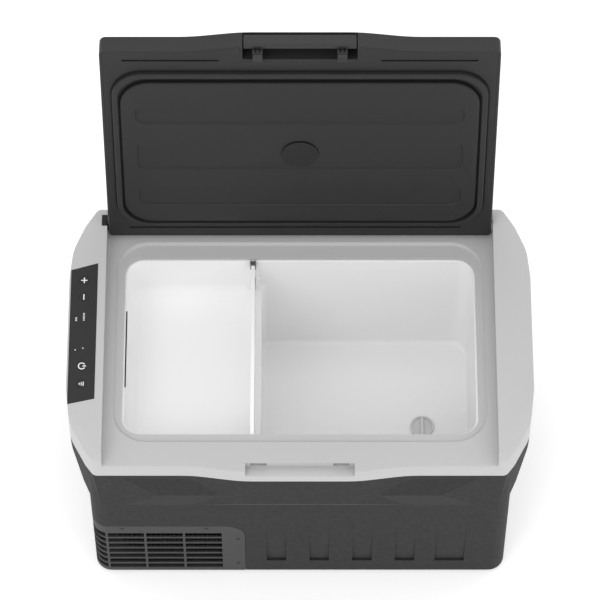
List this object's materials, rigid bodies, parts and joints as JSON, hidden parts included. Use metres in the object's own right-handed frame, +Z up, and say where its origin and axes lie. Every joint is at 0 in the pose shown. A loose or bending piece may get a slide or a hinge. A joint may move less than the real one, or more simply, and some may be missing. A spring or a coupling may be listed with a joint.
{
  "type": "compressor cooler fridge",
  "caption": "Portable compressor cooler fridge with two compartments, side handles, control panel, corner vent grille and a hinged lid with a latch.",
  "frame": {"origin": "on the floor under the middle of the cabinet, half-way across its width; the cabinet runs from 177 mm in front to 178 mm behind", "axes": "+X to the user's right, +Y to the back, +Z up; the lid is stored open against its stop"},
  "size_m": [0.584, 0.4238, 0.6622],
  "materials": {
    "shell_charcoal": "matte textured",
    "frame_light_grey": "satin",
    "liner_white": "satin",
    "foam": "matte",
    "panel_black": "satin",
    "board_green": "satin",
    "grille_grey": "satin",
    "screw_black": "satin",
    "steel": "satin",
    "rubber_black": "matte",
    "inner_dark": "satin",
    "gasket_dark": "matte",
    "lid_charcoal": "matte textured",
    "cap_black": "satin",
    "latch_charcoal": "satin",
    "divider_white": "satin",
    "clip_grey": "satin",
    "can_black": "gloss",
    "copper": "satin",
    "aluminium": "satin",
    "fan_black": "satin",
    "lamp_lens": "satin",
    "plug_white": "satin"
  },
  "bodies": {
    "cabinet": {"outer_shell": "shell_charcoal", "base_pan": "shell_charcoal", "top_frame": "frame_light_grey", "hinge_bearing": "fan_black", "liner": "liner_white", "foam_insulation": "foam", "control_panel": "panel_black", "control_board": "board_green", "vent_grille": "grille_grey", "grille_screws": "screw_black", "rear_vent": "grille_grey", "dc_socket": "inner_dark", "socket_pins": "steel", "feet": "rubber_black", "foot_screws": "steel", "drain_tube": "plug_white", "sensor_cover": "inner_dark", "interior_lamp": "lamp_lens", "base_plate": "steel", "compressor": "can_black", "compressor_mounts": "rubber_black", "compressor_bolts": "steel", "terminal_cover": "fan_black", "fan_shroud": "fan_black", "fan_axle": "steel", "condenser_tube": "copper", "condenser_fins": "aluminium", "evaporator_plate": "aluminium", "evaporator_coil": "copper", "filter_drier": "copper", "capillary_tube": "copper", "discharge_tube": "copper", "suction_tube": "copper", "controller_case": "aluminium", "controller_bracket": "steel"},
    "lid": {"lid_shell": "lid_charcoal", "lid_inner_panel": "lid_charcoal", "lid_gasket": "gasket_dark", "lid_foam": "foam", "foam_port_cap": "cap_black", "hinge_pin_right": "steel", "hinge_spring": "steel", "latch_pin": "screw_black"},
    "hinge_release": {"hinge_pin_left": "cap_black"},
    "latch": {"latch_bar": "latch_charcoal", "latch_hooks": "latch_charcoal"},
    "divider": {"divider_panel": "divider_white", "divider_clip": "clip_grey"},
    "drain_bung": {"drain_plug": "plug_white", "drain_seal": "rubber_black"},
    "fan": {"fan_rotor": "fan_black"},
    "key_plus": {"key_plus": "panel_black"},
    "key_minus": {"key_minus": "panel_black"},
    "key_power": {"key_power": "panel_black"},
    "key_mode": {"key_mode": "panel_black"}
  },
  "joints": [
    {"name": "lid_hinge", "type": "hinge", "parent": "cabinet", "child": "lid", "pos_m": [0, 0.159, 0.3225], "axis": [1, 0, 0], "range_deg": [0, 101.2]},
    {"name": "latch_turn", "type": "hinge", "parent": "lid", "child": "latch", "pos_m": [0, 0.23054, 0.6529], "axis": [-1, 0, 0], "range_deg": [0, 20], "stiffness_Nm_per_rad": 0.25},
    {"name": "hinge_pin_slide", "type": "slide", "parent": "lid", "child": "hinge_release", "axis": [1, 0, 0], "range_m": [0, 0.007], "stiffness_N_per_m": 400, "springref_m": -0.004, "deforming": ["hinge_spring"]},
    {"name": "divider_lift", "type": "slide", "parent": "cabinet", "child": "divider", "axis": [0, 0, -1], "range_m": [-0.1, 0]},
    {"name": "drain_pull", "type": "slide", "parent": "cabinet", "child": "drain_bung", "axis": [0, 0, 1], "range_m": [0, 0.014]},
    {"name": "fan_spin", "type": "hinge", "parent": "cabinet", "child": "fan", "pos_m": [-0.16, -0.117, 0.078], "axis": [0, 1, 0], "continuous": true},
    {"name": "key_plus_press", "type": "slide", "parent": "cabinet", "child": "key_plus", "axis": [0, 0, -1], "range_m": [0, 0.0004], "stiffness_N_per_m": 600},
    {"name": "key_minus_press", "type": "slide", "parent": "cabinet", "child": "key_minus", "axis": [0, 0, -1], "range_m": [0, 0.0004], "stiffness_N_per_m": 600},
    {"name": "key_power_press", "type": "slide", "parent": "cabinet", "child": "key_power", "axis": [0, 0, -1], "range_m": [0, 0.0004], "stiffness_N_per_m": 600},
    {"name": "key_mode_press", "type": "slide", "parent": "cabinet", "child": "key_mode", "axis": [0, 0, -1], "range_m": [0, 0.0004], "stiffness_N_per_m": 600}
  ]
}
